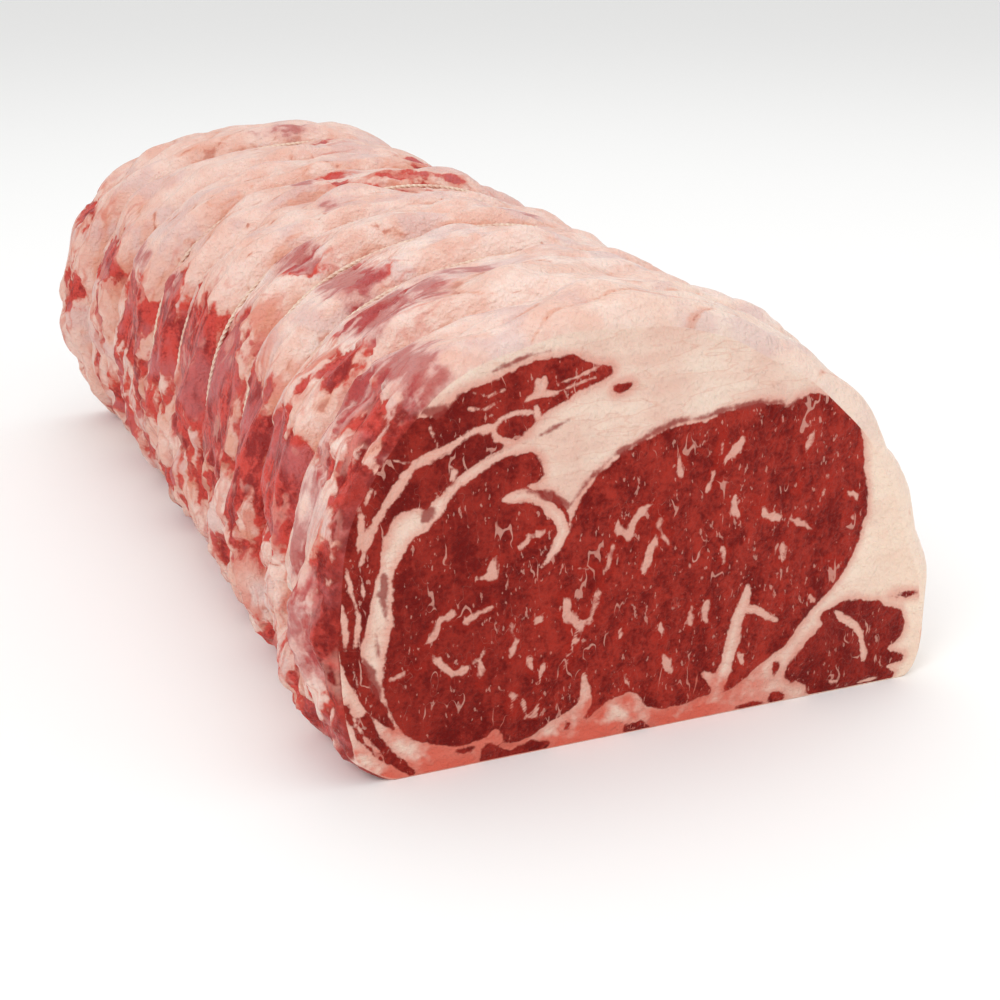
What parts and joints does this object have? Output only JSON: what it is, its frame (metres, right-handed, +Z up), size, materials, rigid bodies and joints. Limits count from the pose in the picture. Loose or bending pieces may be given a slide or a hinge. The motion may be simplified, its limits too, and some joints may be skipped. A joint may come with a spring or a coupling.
{
  "type": "raw beef rib roast",
  "caption": "Raw boneless beef rib roast, rolled and tied with butcher's twine, lying on its flat side with a marbled cut face at each end.",
  "frame": {"origin": "middle of the underside of the roast's box, on the surface that it rests on", "axes": "+Z up from the flat underside, +Y along the roast away from the main cut face, +X to the right when that face is looked at"},
  "size_m": [0.1943, 0.3466, 0.1198],
  "materials": {
    "raw_beef": "moist raw beef: dark red lean with white marbling, pink and cream fat outside",
    "cotton_twine": "undyed twisted cotton twine, damp"
  },
  "bodies": {
    "root": {"roast": "raw_beef", "twine_1": "cotton_twine", "twine_2": "cotton_twine", "twine_3": "cotton_twine", "twine_4": "cotton_twine", "twine_5": "cotton_twine", "twine_6": "cotton_twine", "twine_7": "cotton_twine", "twine_8": "cotton_twine"}
  },
  "joints": []
}
